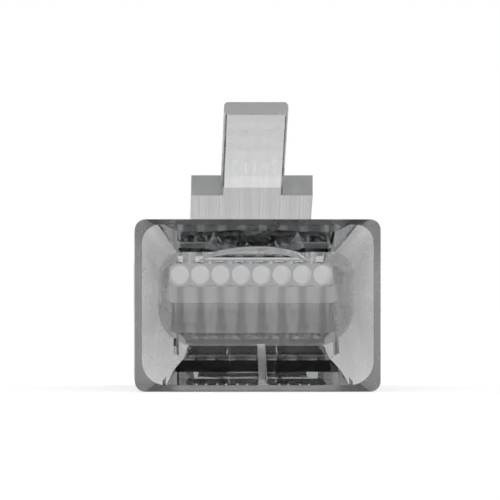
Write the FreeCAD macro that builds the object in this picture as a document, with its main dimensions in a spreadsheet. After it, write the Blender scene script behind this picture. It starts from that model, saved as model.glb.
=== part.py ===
"""Clear eight-position modular plug, ready to be crimped onto a cable.

Row frame: +Z up with the spring latch on top, +Y towards the nose that enters
the jack, -Y towards the cable, X across the row of contacts. The origin is the
middle of the body's footprint on its flat contact side. "Depth" in the names
below is measured in from the cable-entry face, towards the nose.
"""
import FreeCAD, Part
import os
import Sketcher
from FreeCAD import Vector

CONTACT_COUNT = 8
TOOTH_COUNT = 3

# Every size, in millimetres or degrees: name, value and what it is.
SIZES = (
    ("plug_width", 11.68, "overall width of the body"),
    ("plug_length", 21.46, "overall length of the body"),
    ("nose_height", 6.60, "height of the nose, contact side to latch side"),
    ("collar_height", 8.19, "height of the cable-entry collar"),
    ("collar_length", 11.0, "length of the collar's flat top"),
    ("collar_ramp", 1.2, "run of the slope from the collar down to the nose"),
    ("long_edge_radius", 0.5, "rounding of the four long edges"),
    ("nose_edge_radius", 0.3, "rounding round the nose's front face"),
    ("side_rim", 0.34, "wall at the mouth, each side"),
    ("floor_rim", 0.31, "wall at the mouth, contact side"),
    ("roof_rim", 0.25, "wall at the mouth, latch side"),
    ("mouth_top_radius", 0.87, "upper corners of the mouth"),
    ("mouth_bottom_radius", 1.15, "lower corners of the mouth"),
    ("throat_depth", 4.0, "depth where the funnel ends"),
    ("throat_flare", 0.62, "funnel's end wider than the channels' row, each side"),
    ("throat_floor", 2.15, "floor at the end of the funnel"),
    ("throat_roof_drop", 1.53, "collar's top down to the roof at the funnel's end"),
    ("throat_top_radius", 1.05, "upper corners at the end of the funnel"),
    ("throat_bottom_radius", 1.75, "lower corners at the end of the funnel"),
    ("ramp_run", 5.5, "foot of the wire ramp to the wire channels"),
    ("ramp_flare", 0.47, "ramp's foot wider than the channels' row, each side"),
    ("ramp_floor", 2.73, "floor at the foot of the wire ramp"),
    ("ramp_roof_drop", 0.25, "nose's top down to the roof over the ramp's foot"),
    ("ramp_corner_radius", 1.0, "corners at the foot of the wire ramp"),
    ("crest_run", 2.0, "wire ramp's crest to the wire channels"),
    ("crest_flare", 0.25, "crest wider than the channels' row, each side"),
    ("crest_drop", 1.41, "wire channels' axes down to the ramp's crest"),
    ("crest_roof_drop", 0.46, "nose's top down to the roof over the crest"),
    ("crest_corner_radius", 0.5, "corners at the ramp's crest"),
    ("sill_run", 0.35, "run of the steep sill above the crest"),
    ("sill_flare", 0.08, "sill wider than the channels' row, each side"),
    ("sill_drop", 0.60, "wire channels' axes down to the sill"),
    ("guide_side_gap", 0.065, "wall of the outer channels to the cavity's side"),
    ("guide_corner_radius", 0.28, "corners of the cavity from the sill on"),
    ("guide_step", 0.08, "step up from the cavity's floor to the channels"),
    ("guide_lip", 0.06, "step down from the cavity's roof to the channels"),
    ("arch_start_depth", 3.0, "depth where the jacket's arch starts"),
    ("arch_half_width", 3.0, "half chord of the arch"),
    ("arch_radius", 8.8, "radius of the arch"),
    ("arch_start_drop", 1.79, "collar's top down to the arch's springing at its start"),
    ("arch_end_drop", 0.44, "nose's top down to the arch's springing at its end"),
    ("contact_pitch", 1.016, "spacing of the contacts and wire channels"),
    ("channel_wall", 0.096, "wall between two wire channels"),
    ("channel_drop", 1.0, "nose's top down to the wire channels' axes"),
    ("channel_lead", 0.1, "wire channels' start to the blades' back edges"),
    ("channel_overrun", 0.6, "blades' front edges to the wire channels' ends"),
    ("blade_thickness", 0.35, "thickness of a contact blade"),
    ("blade_side_clearance", 0.015, "slot wall to blade, each side"),
    ("blade_end_clearance", 0.03, "slot wall to blade, front and back"),
    ("blade_setback", 1.16, "nose's face back to a blade's front edge"),
    ("blade_length", 5.2, "length of a blade along the plug"),
    ("blade_recess", 0.05, "contact side's plane up to the blade's edge"),
    ("tooth_gap", 0.09, "teeth's tips up to the wire channels"),
    ("blade_nose_radius", 0.8, "rounding of the contact edge at the nose"),
    ("blade_heel_radius", 0.25, "rounding of the contact edge at the back"),
    ("tooth_height", 1.15, "height of the piercing teeth"),
    ("tooth_base", 1.3, "length of a tooth at its foot"),
    ("comb_width", 0.60, "width of the grooves for the jack's wires"),
    ("comb_depth", 0.75, "depth of the grooves under the contacts"),
    ("comb_lead", 0.5, "grooves' start to the blades' back edges"),
    ("comb_turn_setback", 1.56, "nose's face back to where the grooves turn up"),
    ("comb_front_height", 2.4, "height of the grooves in the nose's face"),
    ("bar_inset", 1.0, "funnel's end narrowed to the strain-relief bar, each side"),
    ("bar_slit", 0.28, "width of the slits that free the bar's ends"),
    ("relief_start_depth", 2.9, "depth where the strain-relief recess starts"),
    ("relief_end_depth", 9.1, "depth where the strain-relief recess ends"),
    ("relief_web", 0.40, "thin web that carries the bar at either side"),
    ("web_length", 0.6, "length of the webs"),
    ("bar_face_start", 1.8, "recess's start to the bar's outer face"),
    ("bar_face_end", 1.9, "bar's outer face to the recess's end"),
    ("bar_recess", 0.35, "contact side's plane up to the bar's outer face"),
    ("notch_width", 0.37, "width of the notch in the funnel's floor"),
    ("notch_offset", 0.26, "middle of the notch, off the middle of the plug"),
    ("notch_start_depth", 0.5, "depth where the notch starts"),
    ("notch_end_depth", 4.75, "depth of the notch's upright end"),
    ("notch_floor", 0.5, "height of the notch's floor"),
    ("hinge_setback", 0.76, "nose's face back to the latch's bending line"),
    ("hinge_rise", 0.15, "nose's top up to the latch's bending line"),
    ("knuckle_radius", 0.38, "radius of the latch's root"),
    ("knuckle_clearance", 0.02, "latch's root and front foot to the nose"),
    ("latch_angle", 21.2, "rise of the latch from the nose, degrees"),
    ("latch_drop", 0.18, "bending line down to the latch's underside"),
    ("latch_width", 6.02, "width of the latch, root to shoulders"),
    ("tab_width", 3.10, "width of the latch's finger tab"),
    ("shoulder_reach", 7.6, "bending line to the locking shoulders"),
    ("shoulder_thickness", 1.0, "height of the locking shoulders"),
    ("latch_reach", 17.2, "bending line to the finger tab's end"),
    ("tab_thickness", 0.62, "height of the finger tab's end"),
    ("tab_overlap", 0.8, "finger tab's run inside the wide part"),
    ("latch_front_reach", 0.5, "bending line to the latch's front face"),
    ("latch_front_top", 0.42, "bending line up to the front face's top"),
    ("tab_edge_radius", 0.2, "rounding of the finger tab's long edges"),
)

document = FreeCAD.newDocument("modular_plug")
sheet = document.addObject("Spreadsheet::Sheet", "Sizes")
for row, (alias, value, meaning) in enumerate(SIZES, start=1):
    sheet.set(f"A{row}", meaning)
    sheet.set(f"B{row}", str(value))
    sheet.setAlias(f"B{row}", alias)
document.recompute()


def size(alias):
    """The number in the sheet's named cell."""
    return float(sheet.get(alias))


def depth(expression):
    """Y coordinate of a place at that depth from the cable-entry face."""
    return f"{expression} - Sizes.plug_length / 2"


# Places that follow from the sizes above.
FIRST_CONTACT = f"-Sizes.contact_pitch * {(CONTACT_COUNT - 1) / 2}"
CHANNEL_RADIUS = "(Sizes.contact_pitch - Sizes.channel_wall) / 2"
CHANNEL_HEIGHT = "(Sizes.nose_height - Sizes.channel_drop)"
GUIDE_HALF_WIDTH = f"(Sizes.guide_side_gap + {CHANNEL_RADIUS} - ({FIRST_CONTACT}))"
THROAT_HALF_WIDTH = f"({GUIDE_HALF_WIDTH} + Sizes.throat_flare)"
BLADE_FRONT = "(Sizes.plug_length - Sizes.blade_setback)"
BLADE_BACK = f"({BLADE_FRONT} - Sizes.blade_length)"
GUIDE_DEPTH = f"({BLADE_BACK} - Sizes.channel_lead)"
RAMP_DEPTH = f"({GUIDE_DEPTH} - Sizes.ramp_run)"
HINGE_DEPTH = "(Sizes.plug_length - Sizes.hinge_setback)"
HINGE_HEIGHT = "(Sizes.nose_height + Sizes.hinge_rise)"


# ---------------------------------------------------------------- helpers

def new_body(name):
    """A body whose Label is the sub-part's name."""
    body = document.addObject("PartDesign::Body", name)
    body.Label = name
    return body


def new_sketch(body, name, plane, offset=None):
    """A sketch on one of the body's own planes, moved along its normal."""
    sketch = body.newObject("Sketcher::SketchObject", name)
    support = next(o for o in body.Origin.OriginFeatures if o.Role == plane)
    sketch.AttachmentSupport = [(support, "")]
    sketch.MapMode = "FlatFace"
    if offset:
        sketch.setExpression("AttachmentOffset.Base.z", offset)
    return sketch


def bind(sketch, constraint, name, expression):
    """Adds a dimension and ties it to the sheet."""
    index = sketch.addConstraint(constraint)
    sketch.renameConstraint(index, name)
    sketch.setExpression(f"Constraints.{name}", expression)


def outline(sketch, points):
    """A closed outline of straight runs through points given as expressions."""
    count = len(points)
    start = [Vector(1, 0, 0), Vector(2, 1, 0)]
    turn = FreeCAD.Rotation(Vector(0, 0, 1), 360.0 / count)
    while len(start) < count + 1:
        start.append(start[-1] + turn.multVec(start[-1] - start[-2]))
    for i in range(count):
        sketch.addGeometry(Part.LineSegment(start[i], start[(i + 1) % count]), False)
    for i in range(count):
        sketch.addConstraint(Sketcher.Constraint("Coincident", i, 2, (i + 1) % count, 1))
    for i, (across, up) in enumerate(points):
        bind(sketch, Sketcher.Constraint("DistanceX", -1, 1, i, 1, start[i].x), f"across{i}", across)
        bind(sketch, Sketcher.Constraint("DistanceY", -1, 1, i, 1, start[i].y), f"up{i}", up)
    return sketch


def rectangle(sketch, left, right, bottom, top):
    """A closed rectangle between four expressions."""
    return outline(sketch, [(left, bottom), (right, bottom), (right, top), (left, top)])


def circle(sketch, across, up, radius):
    """A circle whose centre and radius are expressions."""
    sketch.addGeometry(Part.Circle(Vector(1, 1, 0), Vector(0, 0, 1), 1.0), False)
    bind(sketch, Sketcher.Constraint("DistanceX", -1, 1, 0, 3, 1.0), "across", across)
    bind(sketch, Sketcher.Constraint("DistanceY", -1, 1, 0, 3, 1.0), "up", up)
    bind(sketch, Sketcher.Constraint("Radius", 0, 1.0), "radius", radius)
    return sketch


def rounded_section(sketch, half_width, floor, roof, top_radius, bottom_radius):
    """A rectangle about the middle with rounded corners, sized by aliases or sums of them."""
    wide, low, high, round_off = 5.0, 1.0, 6.0, 1.0
    corners = (
        (wide - round_off, low + round_off, -90),
        (wide - round_off, high - round_off, 0),
        (round_off - wide, high - round_off, 90),
        (round_off - wide, low + round_off, 180),
    )
    arcs = []
    for x, y, angle in corners:
        ring = Part.Circle(Vector(x, y, 0), Vector(0, 0, 1), round_off)
        first = FreeCAD.Units.Quantity(angle, "deg").getValueAs("rad").Value
        last = FreeCAD.Units.Quantity(angle + 90, "deg").getValueAs("rad").Value
        arcs.append(sketch.addGeometry(Part.ArcOfCircle(ring, first, last), False))
    sides = []
    for i in range(4):
        here = sketch.getPoint(arcs[i], 2)
        there = sketch.getPoint(arcs[(i + 1) % 4], 1)
        sides.append(sketch.addGeometry(Part.LineSegment(here, there), False))
    for i in range(4):
        sketch.addConstraint(Sketcher.Constraint("Tangent", arcs[i], 2, sides[i], 1))
        sketch.addConstraint(Sketcher.Constraint("Tangent", sides[i], 2, arcs[(i + 1) % 4], 1))
    right, top, left, bottom = sides
    for upright in (right, left):
        sketch.addConstraint(Sketcher.Constraint("Vertical", upright))
    for level in (top, bottom):
        sketch.addConstraint(Sketcher.Constraint("Horizontal", level))
    sketch.addConstraint(Sketcher.Constraint("Equal", arcs[0], arcs[3]))
    sketch.addConstraint(Sketcher.Constraint("Equal", arcs[1], arcs[2]))
    bind(sketch, Sketcher.Constraint("Radius", arcs[0], round_off), "bottom_radius", bottom_radius)
    bind(sketch, Sketcher.Constraint("Radius", arcs[1], round_off), "top_radius", top_radius)
    bind(sketch, Sketcher.Constraint("DistanceX", -1, 1, right, 1, wide), "right", half_width)
    bind(sketch, Sketcher.Constraint("DistanceX", left, 1, -1, 1, wide), "left", half_width)
    bind(sketch, Sketcher.Constraint("DistanceY", -1, 1, bottom, 1, low), "floor", floor)
    bind(sketch, Sketcher.Constraint("DistanceY", -1, 1, top, 1, high), "roof", roof)
    return sketch


def arch_section(sketch, spring):
    """A flat-based arch about the middle, from its springing up to its crown."""
    chord = sketch.addGeometry(Part.LineSegment(Vector(-3, 6, 0), Vector(3, 6, 0)), False)
    crown = Part.Arc(Vector(3, 6, 0), Vector(0, 6.5, 0), Vector(-3, 6, 0))
    arc = sketch.addGeometry(crown, False)
    sketch.addConstraint(Sketcher.Constraint("Coincident", chord, 2, arc, 1))
    sketch.addConstraint(Sketcher.Constraint("Coincident", chord, 1, arc, 2))
    sketch.addConstraint(Sketcher.Constraint("Horizontal", chord))
    bind(sketch, Sketcher.Constraint("DistanceX", chord, 1, -1, 1, 3.0), "left", "Sizes.arch_half_width")
    bind(sketch, Sketcher.Constraint("DistanceX", -1, 1, chord, 2, 3.0), "right", "Sizes.arch_half_width")
    bind(sketch, Sketcher.Constraint("DistanceY", -1, 1, chord, 1, 6.0), "spring", spring)
    bind(sketch, Sketcher.Constraint("Radius", arc, 9.25), "radius", "Sizes.arch_radius")
    return sketch


def prism(body, kind, name, sketch, length, symmetric=True, reverse=False):
    """A pad or pocket of a sketch, which must change the body's volume the right way."""
    before = body.Shape.Volume if body.Tip else 0.0
    feature = body.newObject(f"PartDesign::{kind}", name)
    feature.Profile = sketch
    feature.SideType = "Symmetric" if symmetric else "One side"
    feature.Reversed = reverse
    feature.setExpression("Length", length)
    document.recompute()
    check_change(body, kind, name, before)
    return feature


def check_change(body, kind, name, before):
    """Stops if a feature added or cut nothing."""
    change = body.Shape.Volume - before
    if (change <= 0) == (kind == "Pad"):
        raise RuntimeError(f"{name} changes the volume by {change:.4f}")


def cut_loft(body, name, sections):
    """A cut through a row of sections, with straight sides between them."""
    before = body.Shape.Volume
    loft = body.newObject("PartDesign::SubtractiveLoft", name)
    loft.Profile = sections[0]
    loft.Sections = [(section, [""]) for section in sections[1:]]
    loft.Ruled = True
    document.recompute()
    check_change(body, "Pocket", name, before)
    return loft


def row_across(body, name, feature, sketch, axis):
    """Repeats a feature once for every contact, along one axis of its own sketch."""
    before = body.Shape.Volume
    pattern = body.newObject("PartDesign::LinearPattern", name)
    pattern.Originals = [feature]
    pattern.Direction = (sketch, [axis])
    pattern.Mode = "Extent"
    pattern.Occurrences = CONTACT_COUNT
    pattern.setExpression("Length", f"Sizes.contact_pitch * {CONTACT_COUNT - 1}")
    body.Tip = pattern
    document.recompute()
    check_change(body, "Pocket", name, before)
    return pattern


def round_edges(body, name, radius, choose):
    """A fillet of the edges that choose(edge) picks on the body as it stands."""
    edges = [f"Edge{i}" for i, edge in enumerate(body.Shape.Edges, start=1) if choose(edge)]
    fillet = body.newObject("PartDesign::Fillet", name)
    fillet.Base = (fillet.BaseFeature, edges)
    fillet.setExpression("Radius", radius)
    document.recompute()
    return fillet


def lies_between(edge, low, high):
    """Whether the whole edge is inside the box between two corners."""
    slack = 1e-4
    box = edge.BoundBox
    return (
        low.x - slack <= box.XMin and box.XMax <= high.x + slack
        and low.y - slack <= box.YMin and box.YMax <= high.y + slack
        and low.z - slack <= box.ZMin and box.ZMax <= high.z + slack
    )


# ---------------------------------------------------------------- housing
# One clear moulding: a rectangular shell with a taller collar round the cable
# entry. The cavity funnels in, climbs a ramp and ends in the wire channels.

FAR = 100.0


def make_shell(body):
    """The outer form, with its long edges and nose rounded."""
    side = outline(new_sketch(body, "side_outline", "YZ_Plane"), [
        (depth("0"), "0"),
        (depth("Sizes.plug_length"), "0"),
        (depth("Sizes.plug_length"), "Sizes.nose_height"),
        (depth("Sizes.collar_length + Sizes.collar_ramp"), "Sizes.nose_height"),
        (depth("Sizes.collar_length"), "Sizes.collar_height"),
        (depth("0"), "Sizes.collar_height"),
    ])
    prism(body, "Pad", "shell", side, "Sizes.plug_width")
    half, nose = size("plug_width") / 2, size("plug_length") / 2

    def long_edge(edge):
        on_side = [lies_between(edge, Vector(x, -FAR, -FAR), Vector(x, FAR, FAR)) for x in (-half, half)]
        return any(on_side) and edge.BoundBox.YLength > 0.1

    round_edges(body, "long_edges", "Sizes.long_edge_radius", long_edge)
    front = Vector(-FAR, nose, -FAR), Vector(FAR, nose, FAR)
    round_edges(body, "nose_edges", "Sizes.nose_edge_radius", lambda edge: lies_between(edge, *front))


def cavity_section(body, name, at, *limits):
    """One cross-section of the cavity at a depth."""
    plane = new_sketch(body, name, "XZ_Plane", f"Sizes.plug_length / 2 - ({at})")
    return rounded_section(plane, *limits)


def cut_cavity(body):
    """The cable's funnel, the ramp and the sill in front of the wire channels."""
    crest_roof = "Sizes.nose_height - Sizes.crest_roof_drop"
    sill_depth = f"{GUIDE_DEPTH} - Sizes.crest_run + Sizes.sill_run"
    cut_loft(body, "cavity", [
        cavity_section(body, "mouth", "0", "Sizes.plug_width / 2 - Sizes.side_rim",
                       "Sizes.floor_rim", "Sizes.collar_height - Sizes.roof_rim",
                       "Sizes.mouth_top_radius", "Sizes.mouth_bottom_radius"),
        cavity_section(body, "throat", "Sizes.throat_depth", THROAT_HALF_WIDTH,
                       "Sizes.throat_floor", "Sizes.collar_height - Sizes.throat_roof_drop",
                       "Sizes.throat_top_radius", "Sizes.throat_bottom_radius"),
        cavity_section(body, "ramp_foot", RAMP_DEPTH, f"{GUIDE_HALF_WIDTH} + Sizes.ramp_flare",
                       "Sizes.ramp_floor", "Sizes.nose_height - Sizes.ramp_roof_drop",
                       "Sizes.ramp_corner_radius", "Sizes.ramp_corner_radius"),
        cavity_section(body, "ramp_crest", f"{GUIDE_DEPTH} - Sizes.crest_run",
                       f"{GUIDE_HALF_WIDTH} + Sizes.crest_flare",
                       f"{CHANNEL_HEIGHT} - Sizes.crest_drop", crest_roof,
                       "Sizes.crest_corner_radius", "Sizes.crest_corner_radius"),
        cavity_section(body, "sill", sill_depth, f"{GUIDE_HALF_WIDTH} + Sizes.sill_flare",
                       f"{CHANNEL_HEIGHT} - Sizes.sill_drop", crest_roof,
                       "Sizes.guide_corner_radius", "Sizes.guide_corner_radius"),
        cavity_section(body, "guide", GUIDE_DEPTH, GUIDE_HALF_WIDTH,
                       f"{CHANNEL_HEIGHT} - {CHANNEL_RADIUS} - Sizes.guide_step",
                       f"{CHANNEL_HEIGHT} + {CHANNEL_RADIUS} + Sizes.guide_lip",
                       "Sizes.guide_corner_radius", "Sizes.guide_corner_radius"),
    ])
    cut_loft(body, "jacket_arch", [
        arch_section(new_sketch(body, f"arch_{end}", "XZ_Plane", f"Sizes.plug_length / 2 - {at}"), spring)
        for end, at, spring in (
            ("start", "Sizes.arch_start_depth", "Sizes.collar_height - Sizes.arch_start_drop"),
            ("end", "Sizes.collar_length", "Sizes.nose_height - Sizes.arch_end_drop"),
        )
    ])


def cut_contact_row(body):
    """The wire channels, the blades' slots and the grooves for the jack's wires."""
    plane = new_sketch(body, "channel_outline", "XZ_Plane", f"Sizes.plug_length / 2 - {GUIDE_DEPTH}")
    bore = circle(plane, FIRST_CONTACT, CHANNEL_HEIGHT, CHANNEL_RADIUS)
    channel = prism(body, "Pocket", "channel", bore,
                    "Sizes.channel_lead + Sizes.blade_length + Sizes.channel_overrun", symmetric=False)
    row_across(body, "channels", channel, bore, "H_Axis")

    half_slot = "(Sizes.blade_thickness / 2 + Sizes.blade_side_clearance)"
    slot_outline = rectangle(
        new_sketch(body, "slot_outline", "XY_Plane"),
        f"{FIRST_CONTACT} - {half_slot}",
        f"{FIRST_CONTACT} + {half_slot}",
        depth(f"{BLADE_BACK} - Sizes.blade_end_clearance"),
        depth(f"{BLADE_FRONT} + Sizes.blade_end_clearance"),
    )
    slot = prism(body, "Pocket", "slot", slot_outline, CHANNEL_HEIGHT, symmetric=False, reverse=True)
    row_across(body, "slots", slot, slot_outline, "H_Axis")

    comb_start = f"{BLADE_BACK} - Sizes.comb_lead"
    groove_outline = outline(new_sketch(body, "groove_outline", "YZ_Plane", FIRST_CONTACT), [
        (depth(comb_start), "0"),
        (depth("Sizes.plug_length"), "0"),
        (depth("Sizes.plug_length"), "Sizes.comb_front_height"),
        (depth("Sizes.plug_length - Sizes.comb_turn_setback"), "Sizes.comb_depth"),
        (depth(comb_start), "Sizes.comb_depth"),
    ])
    groove = prism(body, "Pocket", "groove", groove_outline, "Sizes.comb_width")
    row_across(body, "comb", groove, groove_outline, "N_Axis")


def cut_strain_relief(body):
    """The recess that leaves the cable's bar hanging on two thin webs, and the notch behind it."""
    slope = "(Sizes.throat_floor - Sizes.floor_rim) / Sizes.throat_depth"
    rise = f"(Sizes.ramp_floor - Sizes.throat_floor) / ({RAMP_DEPTH} - Sizes.throat_depth)"

    def under_funnel(at):
        return f"Sizes.floor_rim + ({at}) * {slope} - Sizes.relief_web"

    def under_floor(at):
        return f"Sizes.throat_floor + ({at} - Sizes.throat_depth) * {rise} - Sizes.relief_web"

    inner = f"({THROAT_HALF_WIDTH} - Sizes.bar_inset)"
    outer = f"({inner} + Sizes.bar_slit)"
    rear_web = "Sizes.relief_start_depth + Sizes.web_length"
    front_web = "Sizes.relief_end_depth - Sizes.web_length"
    side = outline(new_sketch(body, "relief_outline", "YZ_Plane"), [
        (depth("Sizes.relief_start_depth"), "0"),
        (depth("Sizes.relief_end_depth"), "0"),
        (depth("Sizes.relief_end_depth"), under_floor("Sizes.relief_end_depth")),
        (depth(front_web), under_floor(front_web)),
        (depth("Sizes.relief_end_depth - Sizes.bar_face_end"), "Sizes.bar_recess"),
        (depth("Sizes.relief_start_depth + Sizes.bar_face_start"), "Sizes.bar_recess"),
        (depth(rear_web), under_funnel(rear_web)),
        (depth("Sizes.relief_start_depth"), under_funnel("Sizes.relief_start_depth")),
    ])
    prism(body, "Pocket", "relief", side, f"2 * {outer}")
    for name, left, right in (("left", f"-{outer}", f"-{inner}"), ("right", inner, outer)):
        plan = rectangle(new_sketch(body, f"{name}_slit_outline", "XY_Plane"), left, right,
                         depth("Sizes.relief_start_depth"), depth("Sizes.relief_end_depth"))
        prism(body, "Pocket", f"{name}_slit", plan, "Sizes.ramp_floor + Sizes.relief_web",
              symmetric=False, reverse=True)
    notch = rectangle(new_sketch(body, "notch_outline", "YZ_Plane", "Sizes.notch_offset"),
                      depth("Sizes.notch_start_depth"), depth("Sizes.notch_end_depth"),
                      "Sizes.notch_floor", "Sizes.ramp_floor")
    prism(body, "Pocket", "notch", notch, "Sizes.notch_width")


def cut_latch_seat(body):
    """The rounded seat along the nose's top that the latch's root bends in."""
    seat = circle(new_sketch(body, "seat_outline", "YZ_Plane"), depth(HINGE_DEPTH),
                  HINGE_HEIGHT, "Sizes.knuckle_radius + Sizes.knuckle_clearance")
    prism(body, "Pocket", "seat", seat, "Sizes.latch_width + 2 * Sizes.knuckle_clearance")


def make_housing():
    body = new_body("housing")
    make_shell(body)
    cut_cavity(body)
    cut_contact_row(body)
    cut_strain_relief(body)
    cut_latch_seat(body)
    return body


# ------------------------------------------------------------------ latch
# Part of the same shot as the housing. It is a sub-part of its own because it
# bends at its root when it is pressed: wide to the locking shoulders, then narrow.

def make_latch():
    body = new_body("latch")

    def behind(reach):
        return depth(f"{HINGE_DEPTH} - ({reach})")

    def underside(reach):
        return f"{HINGE_HEIGHT} - Sizes.latch_drop + ({reach}) * tan(Sizes.latch_angle * 1 deg)"

    shoulder = "Sizes.shoulder_reach"
    shoulder_top = f"{underside(shoulder)} + Sizes.shoulder_thickness"
    front = depth(f"{HINGE_DEPTH} + Sizes.latch_front_reach")
    front_foot = "Sizes.nose_height + Sizes.knuckle_clearance"
    wide = outline(new_sketch(body, "wide_outline", "YZ_Plane"), [
        (behind("0"), underside("0")),
        (behind("0"), front_foot),
        (front, front_foot),
        (front, f"{HINGE_HEIGHT} + Sizes.latch_front_top"),
        (behind(shoulder), shoulder_top),
        (behind(shoulder), underside(shoulder)),
    ])
    prism(body, "Pad", "wide_part", wide, "Sizes.latch_width")
    root = circle(new_sketch(body, "root_outline", "YZ_Plane"), behind("0"),
                  HINGE_HEIGHT, "Sizes.knuckle_radius")
    prism(body, "Pad", "root", root, "Sizes.latch_width")

    buried, end = "Sizes.shoulder_reach - Sizes.tab_overlap", "Sizes.latch_reach"
    tab = outline(new_sketch(body, "tab_outline", "YZ_Plane"), [
        (behind(buried), underside(buried)),
        (behind(buried), f"{underside(buried)} + Sizes.tab_thickness"),
        (behind(shoulder), shoulder_top),
        (behind(end), f"{underside(end)} + Sizes.tab_thickness"),
        (behind(end), underside(end)),
    ])
    prism(body, "Pad", "finger_tab", tab, "Sizes.tab_width")
    half = size("tab_width") / 2
    stop = size("plug_length") / 2 - size("hinge_setback") - size("shoulder_reach")

    def tab_edge(edge):
        on_side = [lies_between(edge, Vector(x, -FAR, -FAR), Vector(x, stop, FAR)) for x in (-half, half)]
        return any(on_side) and edge.BoundBox.YLength > 0.1

    round_edges(body, "tab_edges", "Sizes.tab_edge_radius", tab_edge)
    return body


# --------------------------------------------------------------- contacts
# Eight stamped blades. Their teeth stand just under the wire channels and
# pierce the wires when the crimping tool drives the blades up.

def make_contact(number):
    body = new_body(f"contact_{number}")
    tips = f"{CHANNEL_HEIGHT} - {CHANNEL_RADIUS} - Sizes.tooth_gap"
    foot = f"{tips} - Sizes.tooth_height"
    space = f"(Sizes.blade_length - {TOOTH_COUNT} * Sizes.tooth_base) / {TOOTH_COUNT + 1}"
    points = [
        (depth(BLADE_BACK), "Sizes.blade_recess"),
        (depth(BLADE_FRONT), "Sizes.blade_recess"),
        (depth(BLADE_FRONT), foot),
    ]
    for tooth in reversed(range(TOOTH_COUNT)):
        heel = f"{BLADE_BACK} + {space} * {tooth + 1} + Sizes.tooth_base * {tooth}"
        points += [
            (depth(f"{heel} + Sizes.tooth_base"), foot),
            (depth(f"{heel} + Sizes.tooth_base / 2"), tips),
            (depth(heel), foot),
        ]
    points.append((depth(BLADE_BACK), foot))
    prism(body, "Pad", "blade", outline(new_sketch(body, "blade_outline", "YZ_Plane"), points),
          "Sizes.blade_thickness")
    low = size("blade_recess")
    front = size("plug_length") / 2 - size("blade_setback")
    for name, y in (("nose", front), ("heel", front - size("blade_length"))):
        corner = Vector(-FAR, y, low), Vector(FAR, y, low)
        round_edges(body, f"blade_{name}", f"Sizes.blade_{name}_radius",
                    lambda edge: lies_between(edge, *corner))
    body.setExpression("Placement.Base.x", f"{FIRST_CONTACT} + Sizes.contact_pitch * {number - 1}")
    return body


bodies = [make_housing(), make_latch()]
bodies += [make_contact(number) for number in range(1, CONTACT_COUNT + 1)]
document.recompute()

for item in document.Objects:
    if "Invalid" in item.State or "Error" in item.State:
        raise RuntimeError(f"{item.Name} failed: {item.State}")
for body in bodies:
    if body.Shape.isNull() or not body.Shape.isValid() or len(body.Shape.Solids) != 1:
        raise RuntimeError(f"{body.Label} isn't one valid solid")

os.makedirs("parts", exist_ok=True)
for body in bodies:
    body.Shape.exportStep(f"parts/{body.Label}.step")
    box = body.Shape.BoundBox
    print(f"{body.Label}: {body.Shape.Volume:.2f} mm3, "
          f"y {box.YMin:.2f} to {box.YMax:.2f}, z {box.ZMin:.2f} to {box.ZMax:.2f}")
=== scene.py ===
"""Looks of a clear eight-position modular plug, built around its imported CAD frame.

The shared frame is in metres: +Z up with the latch on top, +Y towards the nose that
enters the jack, -Y towards the cable. The plug lies with its contact side on Z = 0.
"""
import math

import bmesh
import bpy
from mathutils import Matrix, Vector


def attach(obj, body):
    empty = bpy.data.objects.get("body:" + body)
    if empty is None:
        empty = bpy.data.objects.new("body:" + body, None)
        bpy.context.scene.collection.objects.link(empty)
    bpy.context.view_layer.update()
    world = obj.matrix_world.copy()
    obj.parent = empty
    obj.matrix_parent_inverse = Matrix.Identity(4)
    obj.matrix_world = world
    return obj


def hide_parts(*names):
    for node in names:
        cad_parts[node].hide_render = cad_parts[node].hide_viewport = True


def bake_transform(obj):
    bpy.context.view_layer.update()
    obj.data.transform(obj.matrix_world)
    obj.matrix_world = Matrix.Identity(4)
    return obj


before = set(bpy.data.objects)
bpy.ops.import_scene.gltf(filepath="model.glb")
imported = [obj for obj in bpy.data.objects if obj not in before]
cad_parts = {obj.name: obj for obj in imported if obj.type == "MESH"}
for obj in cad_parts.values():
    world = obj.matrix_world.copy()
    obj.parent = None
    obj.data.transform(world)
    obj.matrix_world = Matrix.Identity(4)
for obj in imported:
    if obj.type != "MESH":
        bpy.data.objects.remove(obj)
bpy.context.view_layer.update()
scene = bpy.context.scene
MM = 0.001


# ------------------------------------------------------------ clear moulding
# The real housing and its latch are one shot of clear polycarbonate, joined by a
# living hinge at the nose. Here the two frame solids and the hinge's web are
# fused into one closed mesh.
HINGE_Y, HINGE_Z = 9.97, 6.75
NOSE_TOP, NOSE_FRONT = 6.60, 10.73
COLLAR_TOP, COLLAR_FRONT = 8.19, 0.27
LATCH_SLOPE = math.radians(21.2)
LATCH_HALF_WIDTH = 3.01
ROOT_RADIUS, ROOT_SIDES, ROOT_OVERHANG = 0.415, 32, 0.035
WEB_APEX, WEB_REACH, WEB_SINK, WEB_STEPS = 0.077, 1.25, 0.06, 10
WEB_TOP, WEB_FRONT, WEB_INSET = 0.1, 0.47, 0.01
BEND_CUTS = (0.5, 0.8, 1.1, 1.4, 1.7, 2.0, 2.4, 3.0)
WELD, SLIVER, ON_PLANE = 0.0004, 0.0002, 0.0005


def cad_copy(node):
    """A welded copy of a frame node's mesh, in millimetres."""
    shape = bmesh.new()
    shape.from_mesh(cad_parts[node].data)
    bmesh.ops.transform(shape, matrix=Matrix.Scale(1 / MM, 4), verts=shape.verts)
    bmesh.ops.remove_doubles(shape, verts=shape.verts, dist=WELD)
    bmesh.ops.dissolve_degenerate(shape, edges=shape.edges, dist=SLIVER)
    for face in shape.faces:
        face.smooth = False
    return shape


def slice_across(shape, reach):
    """Adds a ring of edges across the latch, that far behind the hinge."""
    every = shape.verts[:] + shape.edges[:] + shape.faces[:]
    bmesh.ops.bisect_plane(shape, geom=every, dist=ON_PLANE,
                           plane_co=(0, HINGE_Y - reach, HINGE_Z), plane_no=(0, 1, 0))


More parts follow.
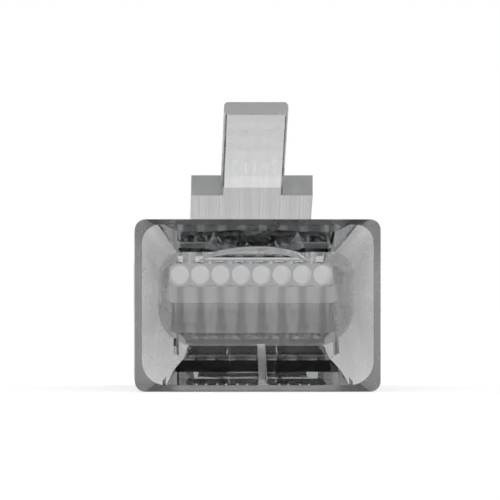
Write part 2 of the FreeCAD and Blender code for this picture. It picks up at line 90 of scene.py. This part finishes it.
def prism_across(profile, half_width):
    """A closed solid of a Y-Z outline, carried across X."""
    shape = bmesh.new()
    ends = [[shape.verts.new((x, y, z)) for y, z in profile] for x in (-half_width, half_width)]
    shape.faces.new(ends[0])
    shape.faces.new(reversed(ends[1]))
    for i in range(len(profile)):
        j = (i + 1) % len(profile)
        shape.faces.new((ends[0][j], ends[0][i], ends[1][i], ends[1][j]))
    bmesh.ops.recalc_face_normals(shape, faces=shape.faces)
    return shape


def as_object(name, shape):
    """An object in the scene, made from a shape that is then used up."""
    mesh = bpy.data.meshes.new(name)
    shape.to_mesh(mesh)
    shape.free()
    made = bpy.data.objects.new(name, mesh)
    scene.collection.objects.link(made)
    return made


def fuse(target, tool):
    """Adds the tool's solid to the target's, and leaves one closed mesh."""
    union = target.modifiers.new("fuse", "BOOLEAN")
    union.operation, union.solver, union.object = "UNION", "EXACT", tool
    depsgraph = bpy.context.evaluated_depsgraph_get()
    fused = bpy.data.meshes.new_from_object(target.evaluated_get(depsgraph))
    target.modifiers.clear()
    target.data = fused
    bpy.data.objects.remove(tool)


def round_point(y, z, radius, angle):
    """A point of a circle in the Y-Z plane."""
    return (y + radius * math.cos(angle), z + radius * math.sin(angle))


# The web rounds the narrow angle between the nose's top and the latch's underside,
# with an arc tangent to both, and fills the slit under the latch's front foot.
web_radius = WEB_REACH * math.tan(LATCH_SLOPE / 2)
centre = Vector((HINGE_Y - WEB_APEX, NOSE_TOP)) + Vector((-WEB_REACH, web_radius))
web_turn = math.pi - LATCH_SLOPE
web = [(centre.x, NOSE_TOP - WEB_SINK)]
web += [round_point(*centre, web_radius, web_turn * step / WEB_STEPS - math.pi / 2)
        for step in range(WEB_STEPS + 1)]
web.append((web[-1][0] + WEB_SINK * math.sin(LATCH_SLOPE),
            web[-1][1] + WEB_SINK * math.cos(LATCH_SLOPE)))
web += [(HINGE_Y, HINGE_Z + WEB_TOP),
        (HINGE_Y + WEB_FRONT, NOSE_TOP + WEB_SINK),
        (HINGE_Y + WEB_FRONT, NOSE_TOP - WEB_SINK)]
root = [round_point(HINGE_Y, HINGE_Z, ROOT_RADIUS, math.tau * side / ROOT_SIDES)
        for side in range(ROOT_SIDES)]

latch_shape = cad_copy("latch")
for reach in BEND_CUTS:
    slice_across(latch_shape, reach)
moulding = as_object("clear_moulding", cad_copy("housing"))
fuse(moulding, as_object("latch_blank", latch_shape))
fuse(moulding, as_object("hinge_root", prism_across(root, LATCH_HALF_WIDTH + ROOT_OVERHANG)))
fuse(moulding, as_object("hinge_web", prism_across(web, LATCH_HALF_WIDTH - WEB_INSET)))


def math_node(tree, operation, first, second=0.5, clamp=False):
    """A Math node of two numbers or sockets, and its output."""
    node = tree.nodes.new("ShaderNodeMath")
    node.operation, node.use_clamp = operation, clamp
    for socket, value in zip(node.inputs, (first, second)):
        if isinstance(value, (int, float)):
            socket.default_value = value
        else:
            tree.links.new(value, socket)
    return node.outputs[0]


def mix_colours(tree, below, above, factor, blend="MIX"):
    """A colour from below to above by the factor's socket. Below may be a socket too."""
    node = tree.nodes.new("ShaderNodeMix")
    node.data_type, node.blend_type = "RGBA", blend
    if isinstance(below, tuple):
        node.inputs["A"].default_value = below
    else:
        tree.links.new(below, node.inputs["A"])
    node.inputs["B"].default_value = above
    tree.links.new(factor, node.inputs["Factor"])
    return node.outputs["Result"]


def bump_of(tree, relief, distance):
    """A Bump node's normal for a height that stands so many millimetres proud."""
    bump = tree.nodes.new("ShaderNodeBump")
    bump.inputs["Distance"].default_value = distance * MM
    tree.links.new(relief, bump.inputs["Height"])
    return bump.outputs["Normal"]


def new_group(name, numbers, outputs):
    """An empty node group with number inputs, and outputs given as {name: socket type}."""
    tree = bpy.data.node_groups.new(name, "ShaderNodeTree")
    for label, value in numbers.items():
        number = tree.interface.new_socket(label, in_out="INPUT", socket_type="NodeSocketFloat")
        number.default_value = value
    for label, kind in outputs.items():
        tree.interface.new_socket(label, in_out="OUTPUT", socket_type=kind)
    return tree, tree.nodes.new("NodeGroupInput"), tree.nodes.new("NodeGroupOutput")


def noise(tree, scale, detail, stretch=(1, 1, 1), roughness=0.5, turn=(0, 0, 0)):
    """Noise in the piece's own coordinates, stretched along an axis, and its value."""
    place = tree.nodes.new("ShaderNodeTexCoord")
    mapping = tree.nodes.new("ShaderNodeMapping")
    mapping.inputs["Scale"].default_value = stretch
    mapping.inputs["Rotation"].default_value = turn
    grain = tree.nodes.new("ShaderNodeTexNoise")
    grain.inputs["Scale"].default_value = scale
    grain.inputs["Detail"].default_value = detail
    grain.inputs["Roughness"].default_value = roughness
    tree.links.new(place.outputs["Object"], mapping.inputs["Vector"])
    tree.links.new(mapping.outputs["Vector"], grain.inputs["Vector"])
    return grain.outputs["Fac"]


def band(tree, value, low, high):
    """0 below low, 1 above high, smooth between."""
    node = tree.nodes.new("ShaderNodeMapRange")
    node.interpolation_type = "SMOOTHSTEP"
    node.inputs["From Min"].default_value = low
    node.inputs["From Max"].default_value = high
    tree.links.new(value, node.inputs["Value"])
    return node.outputs["Result"]


# Marks that every surface of the plug carries: hairline scuffs from bulk packing,
# in worn patches only, and a few specks of dust.
handled, marks_in, marks_out = new_group(
    "bulk_packed_marks", {"Scuffs": 0.5},
    {"Scuff Mask": "NodeSocketFloat", "Dust Mask": "NodeSocketFloat"})
along = noise(handled, scale=3000, detail=2, stretch=(1, 0.06, 1), roughness=0.6,
              turn=(0, 0, 0.5))
astray = noise(handled, scale=2600, detail=2, stretch=(0.07, 1, 0.3), roughness=0.6,
               turn=(0.4, 0.2, -0.3))
hairs = math_node(handled, "MAXIMUM", band(handled, along, low=0.66, high=0.72),
                  band(handled, astray, low=0.67, high=0.73))
worn = band(handled, noise(handled, scale=260, detail=1), low=0.40, high=0.62)
scuffed = math_node(handled, "MULTIPLY", math_node(handled, "MULTIPLY", hairs, worn),
                    marks_in.outputs["Scuffs"])
handled.links.new(scuffed, marks_out.inputs["Scuff Mask"])
specks = handled.nodes.new("ShaderNodeTexVoronoi")
specks.inputs["Scale"].default_value = 520
where = handled.nodes.new("ShaderNodeTexCoord")
handled.links.new(where.outputs["Object"], specks.inputs["Vector"])
speck = math_node(handled, "SUBTRACT", 1.0,
                  band(handled, specks.outputs["Distance"], low=0.03, high=0.07))
dusty = band(handled, noise(handled, scale=330, detail=0), low=0.58, high=0.60)
handled.links.new(math_node(handled, "MULTIPLY", speck, dusty), marks_out.inputs["Dust Mask"])

# The skin of an injection moulding: slow flow waves along the plug, and a fine orange
# peel about an eighth as high. Its gloss changes slowly from place to place.
PEEL_HEIGHT = 0.12
skin, skin_in, skin_out = new_group(
    "moulded_skin", {"Flow": 1.0, "Peel": 1.0},
    {"Height": "NodeSocketFloat", "Gloss Change": "NodeSocketFloat"})
waves = noise(skin, scale=420, detail=1, stretch=(1, 0.3, 0.8))
flow = math_node(skin, "MULTIPLY", waves, skin_in.outputs["Flow"])
pits = noise(skin, scale=3800, detail=2)
peel = math_node(skin, "MULTIPLY", pits, skin_in.outputs["Peel"])
skin.links.new(math_node(skin, "ADD", flow, math_node(skin, "MULTIPLY", peel, PEEL_HEIGHT)),
               skin_out.inputs["Height"])
gloss = noise(skin, scale=700, detail=3, stretch=(1, 0.5, 1))
skin.links.new(band(skin, gloss, low=0.35, high=0.75), skin_out.inputs["Gloss Change"])


def place_group(tree, group, **numbers):
    """A node group in a material, with that material's own values."""
    node = tree.nodes.new("ShaderNodeGroup")
    node.node_tree = group
    for label, value in numbers.items():
        node.inputs[label].default_value = value
    return node


POLYCARBONATE_IOR = 1.585
UNMARKED, MARKED = (0.93, 0.93, 0.93, 1), (0.78, 0.78, 0.78, 1)
IN_DEPTH, DEPTH_DENSITY = (0.80, 0.81, 0.82, 1), 220.0
MARK_ROUGHNESS = 0.25
SKIN_RELIEF = 0.004


def clear_plastic(name, clearness, smooth_end, rough_end, flow, peel, scuffs):
    """Polycarbonate that scatters what it doesn't let through, a little grey in depth.
    Its roughness runs between two ends, and marks make it rougher and greyer."""
    made = bpy.data.materials.new(name)
    made.use_nodes = True
    tree = made.node_tree
    shader = tree.nodes["Principled BSDF"]
    shader.inputs["Transmission Weight"].default_value = clearness
    shader.inputs["IOR"].default_value = POLYCARBONATE_IOR
    skin_node = place_group(tree, skin, Flow=flow, Peel=peel)
    marks_node = place_group(tree, handled, Scuffs=scuffs)
    marks = math_node(tree, "ADD", marks_node.outputs["Scuff Mask"],
                      marks_node.outputs["Dust Mask"], clamp=True)
    rough = tree.nodes.new("ShaderNodeMapRange")
    rough.inputs["To Min"].default_value = smooth_end
    rough.inputs["To Max"].default_value = rough_end
    tree.links.new(skin_node.outputs["Gloss Change"], rough.inputs["Value"])
    rough_marks = math_node(tree, "MULTIPLY", marks, MARK_ROUGHNESS)
    tree.links.new(math_node(tree, "ADD", rough.outputs["Result"], rough_marks),
                   shader.inputs["Roughness"])
    tree.links.new(mix_colours(tree, UNMARKED, MARKED, marks), shader.inputs["Base Color"])
    tree.links.new(bump_of(tree, skin_node.outputs["Height"], SKIN_RELIEF),
                   shader.inputs["Normal"])
    depth = tree.nodes.new("ShaderNodeVolumeAbsorption")
    depth.inputs["Color"].default_value = IN_DEPTH
    depth.inputs["Density"].default_value = DEPTH_DENSITY
    tree.links.new(depth.outputs["Volume"], tree.nodes["Material Output"].inputs["Volume"])
    return made


# Most of the mould is polished. Its sides, the nose's front, the rear rim with its lips
# and the latch's ends are finely spark-eroded, the funnel's walls and floor slot are
# milkier, the wire ramp is milky but nearly smooth, and the steep sill is left matt.
# A finish is its clearness, smooth end, rough end, flow waves, orange peel and scuffs.
FINISHES = {
    "polished": (1.0, 0.0, 0.03, 0.7, 0.5, 0.3),
    "satin": (0.90, 0.16, 0.24, 0.6, 1.0, 0.3),
    "matt": (0.30, 0.36, 0.46, 0.6, 1.0, 0.1),
    "rim": (0.85, 0.22, 0.30, 0.6, 1.0, 0.2),
    "ramp": (0.50, 0.06, 0.10, 0.6, 1.0, 0.2),
    "funnel": (0.30, 0.24, 0.32, 0.15, 0.2, 0.1),
    "end": (0.66, 0.20, 0.28, 0.6, 1.0, 0.2),
    "lip": (1.0, 0.26, 0.34, 0.6, 1.0, 0.0),
}

# Where each finish lies: how squarely a face looks along an axis, and its place.
FACING, SIDE_FACING, MOSTLY_FACING, SLANTED = 0.95, 0.9, 0.7, 0.12
SIDE_FROM, RIM_SIDE_FROM, END_DEPTH = 4.4, 5.0, 0.1
SILL_STEEP, SILL_Y, SILL_Z = 0.6, (2.17, 2.77), (4.19, 5.00)
RAMP_TILT, RAMP_Y, RAMP_Z = (0.80, 0.98), (-2.0, 2.27), (2.73, 4.19)
FLOOR_SLOT_X, FLOOR_SLOT_Y_TO, FLOOR_SLOT_Z_TO = (0, 0.5), -5.0, 2.1
FUNNEL_WALL_X, FUNNEL_Y_TO = (2.5, 5.6), 4.27


def within(value, limits):
    """Whether a value lies between two limits."""
    return limits[0] < value < limits[1]


def finish_of(middle, normal):
    """The finish of the part of the mould that a face lies on."""
    if normal.y < -SILL_STEEP and within(middle.y, SILL_Y) and within(middle.z, SILL_Z):
        return "matt"
    if within(normal.z, RAMP_TILT) and within(middle.y, RAMP_Y) and within(middle.z, RAMP_Z):
        return "ramp"
    in_floor_slot = (within(middle.x, FLOOR_SLOT_X) and middle.y < FLOOR_SLOT_Y_TO
                     and middle.z < FLOOR_SLOT_Z_TO)
    if in_floor_slot and max(abs(normal.x), normal.z, -normal.y) > FACING:
        return "funnel"
    if normal.y < -FACING and middle.y < -NOSE_FRONT + END_DEPTH:
        return "rim" if abs(middle.x) > RIM_SIDE_FROM else "lip"
    if (abs(normal.x) > SLANTED and within(abs(middle.x), FUNNEL_WALL_X)
            and middle.y < FUNNEL_Y_TO):
        return "funnel"
    if abs(normal.x) > SIDE_FACING and abs(middle.x) > SIDE_FROM:
        return "satin"
    if middle.z > COLLAR_TOP and max(-normal.y, abs(normal.x)) > MOSTLY_FACING:
        return "end"
    if normal.y > FACING and middle.y > NOSE_FRONT - END_DEPTH:
        return "satin"
    return "polished"


moulding.data.materials.clear()
for finish, numbers in FINISHES.items():
    moulding.data.materials.append(clear_plastic(f"{finish}_polycarbonate", *numbers))
finish_order = list(FINISHES)
for face in moulding.data.polygons:
    face.material_index = finish_order.index(finish_of(face.center, face.normal))
moulding.data.transform(Matrix.Scale(MM, 4))
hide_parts("housing", "latch")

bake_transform(moulding)


# --------------------------------------------------------------- contact blades
# Eight blades, blanked from thin phosphor bronze, nickel plated all over and gold
# plated along the lower edge that the jack's wires meet. Each is pressed into its slot.
BLADE_EDGE, FLAT_ANGLE, EDGE_ANGLE = 0.03, 0.005, 0.35
GOLD_UP_TO, NICKEL_FROM, PLATING_WANDER = 1.23, 1.31, 0.25
GOLD, NICKEL, TARNISHED = (0.83, 0.62, 0.29, 1), (0.74, 0.73, 0.71, 1), (0.72, 0.70, 0.68, 1)
TARNISH_MOST = 0.6
PLATED_ROUGHNESS, SHEAR_ROUGHNESS, SCUFF_ROUGHNESS = 0.18, 0.22, 0.2
SHEAR_RELIEF = 0.006

stamped = bpy.data.materials.new("plated_blade")
stamped.use_nodes = True
tree = stamped.node_tree
metal = tree.nodes["Principled BSDF"]
metal.inputs["Metallic"].default_value = 1.0
height = tree.nodes.new("ShaderNodeSeparateXYZ")
own = tree.nodes.new("ShaderNodeTexCoord")
tree.links.new(own.outputs["Object"], height.inputs["Vector"])
wander = math_node(tree, "MULTIPLY", noise(tree, scale=900, detail=2), PLATING_WANDER * MM)
wavy = math_node(tree, "ADD", height.outputs["Z"], wander)
above_gold = band(tree, wavy, low=GOLD_UP_TO * MM, high=NICKEL_FROM * MM)
plating = mix_colours(tree, GOLD, NICKEL, above_gold)
tarnish = band(tree, noise(tree, scale=520, detail=3), low=0.45, high=0.80)
dulled = mix_colours(tree, plating, TARNISHED,
                     math_node(tree, "MULTIPLY", tarnish, TARNISH_MOST), "MULTIPLY")
tree.links.new(dulled, metal.inputs["Base Color"])
shear = noise(tree, scale=5200, detail=2, stretch=(1, 0.05, 1), roughness=0.6)
marks_node = place_group(tree, handled, Scuffs=1.0)
scuffs = math_node(tree, "MULTIPLY", marks_node.outputs["Scuff Mask"], SCUFF_ROUGHNESS)
rough = math_node(tree, "ADD", math_node(tree, "MULTIPLY", shear, SHEAR_ROUGHNESS),
                  PLATED_ROUGHNESS)
tree.links.new(math_node(tree, "ADD", rough, scuffs), metal.inputs["Roughness"])
tree.links.new(bump_of(tree, shear, SHEAR_RELIEF), metal.inputs["Normal"])

for number in range(1, 9):
    shape = cad_copy(f"contact_{number}")
    bmesh.ops.dissolve_limit(shape, angle_limit=FLAT_ANGLE, verts=shape.verts, edges=shape.edges)
    sharp = [edge for edge in shape.edges if edge.calc_face_angle(0) > EDGE_ANGLE]
    bmesh.ops.bevel(shape, geom=sharp, offset=BLADE_EDGE, segments=2, profile=0.5, affect="EDGES")
    bmesh.ops.transform(shape, matrix=Matrix.Scale(MM, 4), verts=shape.verts)
    blade = as_object(f"contact_blade_{number}", shape)
    blade.data.materials.append(stamped)
    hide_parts(f"contact_{number}")
    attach(blade, f"contact_{number}")


# ------------------------------------------------------------------ table
# A plain pale table top that the plug lies on. It keeps the plug's shadow, the clear
# plastic doesn't take its colour, and it has no underside, so that the contact side
# can be seen from below.
TABLE_HALF_SIZE, TABLE_GAP = 1.1, 0.01
TABLE_COLOUR = (0.9, 0.9, 0.9, 1)

# Looked at directly, half of the table's colour is a glow, so that it stays pale.
SEEN_COLOUR, SEEN_GLOW = (0.45, 0.45, 0.45, 1), (0.6, 0.6, 0.6, 1)


def mix_shaders(tree, factor, first, second):
    """One shader where the factor is 0, and the other where it is 1."""
    node = tree.nodes.new("ShaderNodeMixShader")
    tree.links.new(factor, node.inputs["Fac"])
    tree.links.new(first, node.inputs[1])
    tree.links.new(second, node.inputs[2])
    return node.outputs["Shader"]


table_shape = bmesh.new()
bmesh.ops.create_grid(table_shape, x_segments=1, y_segments=1, size=TABLE_HALF_SIZE)
table = as_object("table_top", table_shape)
table.location = (0, 0, -TABLE_GAP * MM)
white_top = bpy.data.materials.new("white_table")
white_top.use_nodes = True
tree = white_top.node_tree
tree.nodes.clear()
path = tree.nodes.new("ShaderNodeLightPath")
facing = tree.nodes.new("ShaderNodeNewGeometry")
matt = tree.nodes.new("ShaderNodeBsdfDiffuse")
matt.inputs["Color"].default_value = TABLE_COLOUR
shaded = tree.nodes.new("ShaderNodeBsdfDiffuse")
shaded.inputs["Color"].default_value = SEEN_COLOUR
glow = tree.nodes.new("ShaderNodeEmission")
glow.inputs["Color"].default_value = SEEN_GLOW
seen = tree.nodes.new("ShaderNodeAddShader")
tree.links.new(shaded.outputs["BSDF"], seen.inputs[0])
tree.links.new(glow.outputs["Emission"], seen.inputs[1])
top_side = mix_shaders(tree, path.outputs["Is Camera Ray"],
                       matt.outputs["BSDF"], seen.outputs["Shader"])
nothing = tree.nodes.new("ShaderNodeBsdfTransparent")
one_sided = mix_shaders(tree, facing.outputs["Backfacing"], top_side, nothing.outputs["BSDF"])
surface = tree.nodes.new("ShaderNodeOutputMaterial")
tree.links.new(one_sided, surface.inputs["Surface"])
table.data.materials.append(white_top)
table.visible_transmission = False


# ------------------------------------------------------------------ studio
# A plain white surround lights the plug. What its glossy and clear faces pick up of
# it is white cards on black, as clear goods are lit, so that its edges show.

# A card is its lowest and highest elevation, its least and most turn away from the
# nose's direction, all in degrees, and how white it is.
CARDS = (
    (-26, -4, -5, 20, 1.0),     # beyond the nose, low
    (-4, 5, -5, 20, 0.70),      # beyond the nose, level
    (56, 61, -5, 10, 1.0),      # a narrow strip high beyond the nose
    (-52, -5, 30, 52, 0.9),     # either side of the low one
    (-95, 52, 52, 125, 1.0),    # the two sides, down to straight below
    (-52, 52, 125, 160, 1.0),   # the sides' rear quarters
    (8, 52, 160, 185, 0.5),     # beyond the cable's end, high
    (-9, 8, 160, 185, 0.15),    # beyond the cable's end, level
    (-27, -9, 160, 185, 0.8),   # beyond the cable's end, low
    (-52, -27, 160, 185, 0.2),  # beyond the cable's end, lower still
    (87.5, 95, -5, 185, 1.0),   # straight overhead
    (-95, -77, -5, 52, 1.0),    # straight below, on the nose's side
    (-95, -77, 125, 185, 1.0),  # straight below, on the cable's side
)
SOFT_ELEVATION, SOFT_HEADING = 1.0, 1.5

world = bpy.data.worlds.new("studio")
scene.world = world
world.use_nodes = True
tree = world.node_tree
background = tree.nodes["Background"]
background.inputs["Strength"].default_value = 1.0
ray = tree.nodes.new("ShaderNodeLightPath")
looking = tree.nodes.new("ShaderNodeTexCoord")
direction = tree.nodes.new("ShaderNodeSeparateXYZ")
tree.links.new(looking.outputs["Generated"], direction.inputs["Vector"])
elevation = math_node(tree, "ARCSINE", direction.outputs["Z"])
heading = math_node(tree, "ABSOLUTE", math_node(
    tree, "ARCTAN2", direction.outputs["X"], direction.outputs["Y"]))


def between(value, low, high, soft):
    """1 from low to high in degrees, and 0 outside, with soft edges."""
    rising = band(tree, value, math.radians(low - soft), math.radians(low + soft))
    beyond = band(tree, value, math.radians(high - soft), math.radians(high + soft))
    return math_node(tree, "MINIMUM", rising, math_node(tree, "SUBTRACT", 1.0, beyond))


cards = 0.0
for lowest, highest, least, most, whiteness in CARDS:
    card = math_node(tree, "MULTIPLY", between(elevation, lowest, highest, SOFT_ELEVATION),
                     between(heading, least, most, SOFT_HEADING))
    cards = math_node(tree, "ADD", math_node(tree, "MULTIPLY", card, whiteness), cards)
cards = math_node(tree, "MINIMUM", cards, 1.0)
sharp_rays = math_node(tree, "MAXIMUM", ray.outputs["Is Glossy Ray"],
                       ray.outputs["Is Transmission Ray"])
sharp_rays = math_node(tree, "SUBTRACT", sharp_rays, ray.outputs["Diffuse Depth"], clamp=True)
shade = tree.nodes.new("ShaderNodeMix")
shade.inputs["A"].default_value = 1.0
tree.links.new(sharp_rays, shade.inputs["Factor"])
tree.links.new(cards, shade.inputs["B"])
tree.links.new(shade.outputs["Result"], background.inputs["Color"])

EYE, AIM = Vector((-6.54, -310.73, 4.83)), Vector((-0.37, -10.73, 6.73))
LENS, SENSOR = 454.9, 36.0
camera_data = bpy.data.cameras.new("camera")
camera = bpy.data.objects.new("camera", camera_data)
scene.collection.objects.link(camera)
scene.camera = camera
camera_data.sensor_width, camera_data.lens = SENSOR, LENS
camera_data.clip_start, camera_data.clip_end = 0.01, 10.0
camera.location = EYE * MM
camera.rotation_mode = "QUATERNION"
camera.rotation_quaternion = (AIM * MM - camera.location).to_track_quat("-Z", "Y")

# A ray may cross many clear walls before it leaves the plug.
CLEAR_BOUNCES = 32
scene.view_settings.view_transform = "Standard"
scene.cycles.max_bounces = CLEAR_BOUNCES
scene.cycles.glossy_bounces = CLEAR_BOUNCES
scene.cycles.transmission_bounces = CLEAR_BOUNCES
bpy.context.view_layer.update()
